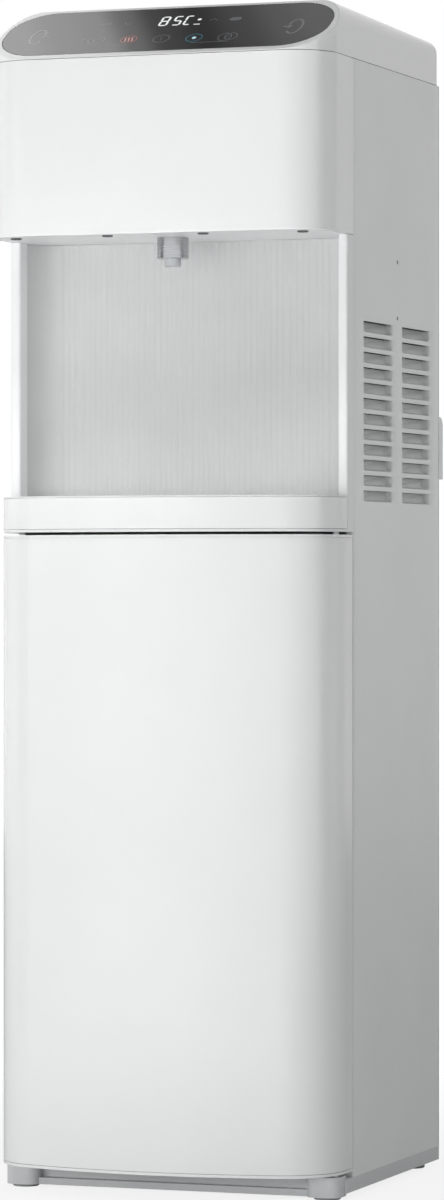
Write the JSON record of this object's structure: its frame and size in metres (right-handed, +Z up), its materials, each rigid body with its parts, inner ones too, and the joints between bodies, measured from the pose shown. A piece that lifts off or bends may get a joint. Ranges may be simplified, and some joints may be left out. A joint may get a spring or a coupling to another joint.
{
  "type": "water cooler",
  "caption": "Floor-standing water cooler with a bowed door for its bottle below, a fluted niche with a drip tray, and a sloping touch panel on a rounded head.",
  "frame": {"origin": "on the floor under the middle of the whole cooler, its bowed door and rear grip included", "axes": "+X to the right seen from the front, +Y to the back, +Z up"},
  "size_m": [0.32, 0.3564, 1.057],
  "materials": {
    "casing": "white semi-gloss powder coat",
    "shell": "glossy white moulding",
    "trim": "satin white moulding",
    "base": "light grey moulding",
    "pad": "black rubber",
    "glass": "black touch panel",
    "lens": "clear lens",
    "steel": "stainless steel",
    "zinc": "galvanised sheet",
    "alu": "bare aluminium",
    "foam": "closed-cell foam",
    "hose": "milky silicone hose",
    "black": "black moulding",
    "board": "green circuit board",
    "ceramic": "white ceramic plate",
    "switch_red": "red rocker",
    "switch_green": "green rocker",
    "magnet": "magnet strip"
  },
  "bodies": {
    "cabinet": {"base_plinth": "base", "base_feet": "pad", "side_panel_left": "casing", "side_panel_right": "casing", "rear_panel": "zinc", "rear_handle": "trim", "rear_screws": "steel", "panel_rivets": "steel", "front_frame": "trim", "niche_liner": "trim", "head_shell": "shell", "outlet_deck": "trim", "deck_screws": "steel", "nozzle_lamp": "lens", "nozzle_sleeve": "steel", "nozzle_tip": "lens", "top_cover": "shell", "touch_glass": "glass", "display_board": "board", "hinge_pins": "steel", "compartment_liner": "trim", "mid_shelf": "zinc", "upper_shelf": "zinc", "cold_tank": "steel", "tank_insulation": "foam", "level_stem": "steel", "cooling_block": "alu", "cooling_module": "ceramic", "heat_sink": "alu", "fan_housing": "black", "tank_strap": "zinc", "hot_tank": "steel", "band_heater": "alu", "thermostats": "black", "tank_pipes": "steel", "drain_fitting": "trim", "water_pump": "black", "probe_inlet": "trim", "bottle_probe": "trim", "probe_holder": "trim", "suction_hose": "hose", "delivery_hose": "hose", "outlet_manifold": "trim", "outlet_valves": "black", "outlet_hoses": "hose", "power_board": "board", "switch_plate": "black", "cord_gland": "black"},
    "door": {"door_shell": "shell", "door_end_caps": "trim", "door_liner": "trim", "door_magnets": "magnet"},
    "tray": {"drip_tray": "shell"},
    "grille": {"drip_grille": "trim"},
    "fan": {"fan_rotor": "black"},
    "hot_rocker": {"hot_switch": "switch_red"},
    "cold_rocker": {"cold_switch": "switch_green"},
    "drain_plug": {"drain_cap": "trim"},
    "float": {"level_float": "trim"}
  },
  "joints": [
    {"name": "door_hinge", "type": "hinge", "parent": "cabinet", "child": "door", "pos_m": [0.152, -0.11275, 0.3], "axis": [0, 0, 1], "range_deg": [0, 100]},
    {"name": "tray_slide", "type": "slide", "parent": "cabinet", "child": "tray", "axis": [0, -1, 0], "range_m": [0, 0.12]},
    {"name": "grille_lift", "type": "slide", "parent": "tray", "child": "grille", "axis": [0, 0, 1], "range_m": [0, 0.03]},
    {"name": "fan_spin", "type": "hinge", "parent": "cabinet", "child": "fan", "pos_m": [-0.072, 0.15225, 0.752], "axis": [0, 1, 0], "continuous": true},
    {"name": "hot_switch_rock", "type": "hinge", "parent": "cabinet", "child": "hot_rocker", "pos_m": [0.083, 0.16275, 0.9], "axis": [1, 0, 0], "range_deg": [0, 12]},
    {"name": "cold_switch_rock", "type": "hinge", "parent": "cabinet", "child": "cold_rocker", "pos_m": [0.109, 0.16275, 0.9], "axis": [1, 0, 0], "range_deg": [0, 12]},
    {"name": "drain_cap_pull", "type": "slide", "parent": "cabinet", "child": "drain_plug", "axis": [0, 1, 0], "range_m": [0, 0.012]},
    {"name": "float_rise", "type": "slide", "parent": "cabinet", "child": "float", "axis": [0, 0, 1], "range_m": [0, 0.06]}
  ]
}
